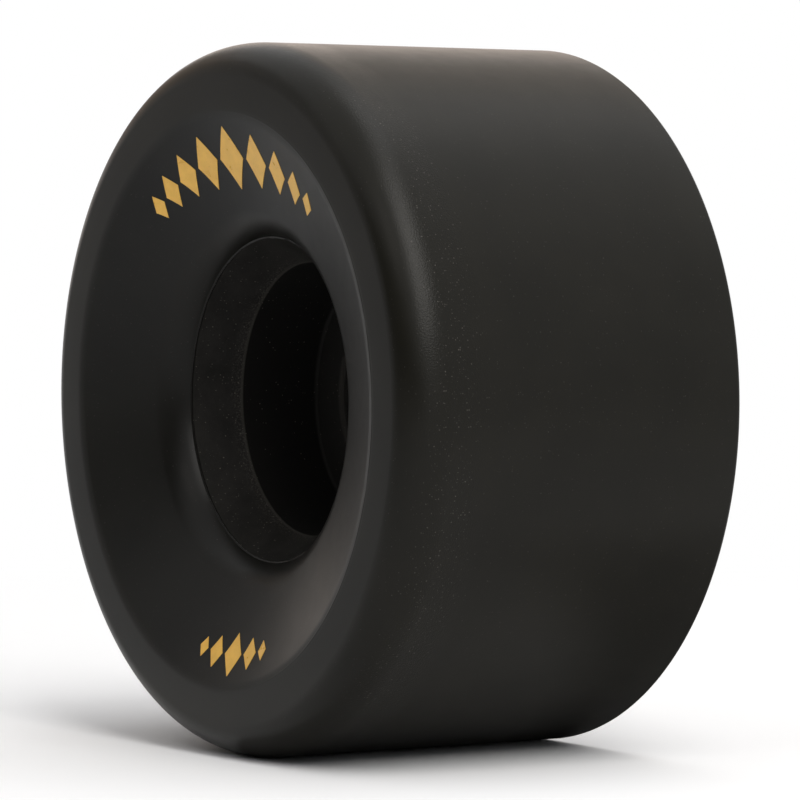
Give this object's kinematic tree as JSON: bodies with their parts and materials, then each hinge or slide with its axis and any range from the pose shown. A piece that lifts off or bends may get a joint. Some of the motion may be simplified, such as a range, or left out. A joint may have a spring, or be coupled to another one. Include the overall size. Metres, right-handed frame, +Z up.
{
  "type": "roller skate wheel",
  "caption": "Roller skate wheel: black cast tyre with a rounded lip and dished face on a moulded core with bearing seats, and a shielded ball bearing in the rear seat.",
  "frame": {"origin": "the wheel's centre, on its spin axis, midway between the front lip and the rear face", "axes": "+Y along the spin axis toward the rear face, the truck side, so the dished front face looks along -Y; +Z up"},
  "size_m": [0.057, 0.0306, 0.057],
  "materials": {
    "tyre": "satin black cast urethane",
    "core": "matte black moulded",
    "bearing_steel": "ground",
    "ball_steel": "polished",
    "cage": "natural nylon",
    "shield": "pressed sheet",
    "spring_wire": "drawn wire"
  },
  "bodies": {
    "axle_side": {"bearing_inner_ring": "bearing_steel"},
    "wheel": {"tyre": "tyre", "core": "core", "bearing_outer_ring": "bearing_steel", "shield_front": "shield", "shield_rear": "shield", "snap_ring_front": "spring_wire", "snap_ring_rear": "spring_wire"},
    "cage": {"ball_cage": "cage"},
    "rolling_1": {"ball_1": "ball_steel"},
    "rolling_2": {"ball_2": "ball_steel"},
    "rolling_3": {"ball_3": "ball_steel"},
    "rolling_4": {"ball_4": "ball_steel"},
    "rolling_5": {"ball_5": "ball_steel"},
    "rolling_6": {"ball_6": "ball_steel"},
    "rolling_7": {"ball_7": "ball_steel"}
  },
  "joints": [
    {"name": "wheel_spin", "type": "hinge", "parent": "axle_side", "child": "wheel", "pos_m": [0, 0, 0], "axis": [0, 1, 0], "continuous": true},
    {"name": "cage_spin", "type": "hinge", "parent": "axle_side", "child": "cage", "pos_m": [0, 0.01065, 0], "axis": [0, 1, 0], "continuous": true},
    {"name": "ball_1_spin", "type": "hinge", "parent": "cage", "child": "rolling_1", "pos_m": [0, 0.01065, 0.0075], "axis": [0, 1, 0], "continuous": true},
    {"name": "ball_2_spin", "type": "hinge", "parent": "cage", "child": "rolling_2", "pos_m": [0.00586, 0.01065, 0.00468], "axis": [0, 1, 0], "continuous": true},
    {"name": "ball_3_spin", "type": "hinge", "parent": "cage", "child": "rolling_3", "pos_m": [0.00731, 0.01065, -0.00167], "axis": [0, 1, 0], "continuous": true},
    {"name": "ball_4_spin", "type": "hinge", "parent": "cage", "child": "rolling_4", "pos_m": [0.00325, 0.01065, -0.00676], "axis": [0, 1, 0], "continuous": true},
    {"name": "ball_5_spin", "type": "hinge", "parent": "cage", "child": "rolling_5", "pos_m": [-0.00325, 0.01065, -0.00676], "axis": [0, 1, 0], "continuous": true},
    {"name": "ball_6_spin", "type": "hinge", "parent": "cage", "child": "rolling_6", "pos_m": [-0.00731, 0.01065, -0.00167], "axis": [0, 1, 0], "continuous": true},
    {"name": "ball_7_spin", "type": "hinge", "parent": "cage", "child": "rolling_7", "pos_m": [-0.00586, 0.01065, 0.00468], "axis": [0, 1, 0], "continuous": true}
  ],
  "couplings": [
    {"joint": "cage_spin", "follows": "wheel_spin", "ratio": 0.6323},
    {"joint": "ball_1_spin", "follows": "wheel_spin", "ratio": 1.7573},
    {"joint": "ball_2_spin", "follows": "wheel_spin", "ratio": 1.7573},
    {"joint": "ball_3_spin", "follows": "wheel_spin", "ratio": 1.7573},
    {"joint": "ball_4_spin", "follows": "wheel_spin", "ratio": 1.7573},
    {"joint": "ball_5_spin", "follows": "wheel_spin", "ratio": 1.7573},
    {"joint": "ball_6_spin", "follows": "wheel_spin", "ratio": 1.7573},
    {"joint": "ball_7_spin", "follows": "wheel_spin", "ratio": 1.7573}
  ]
}
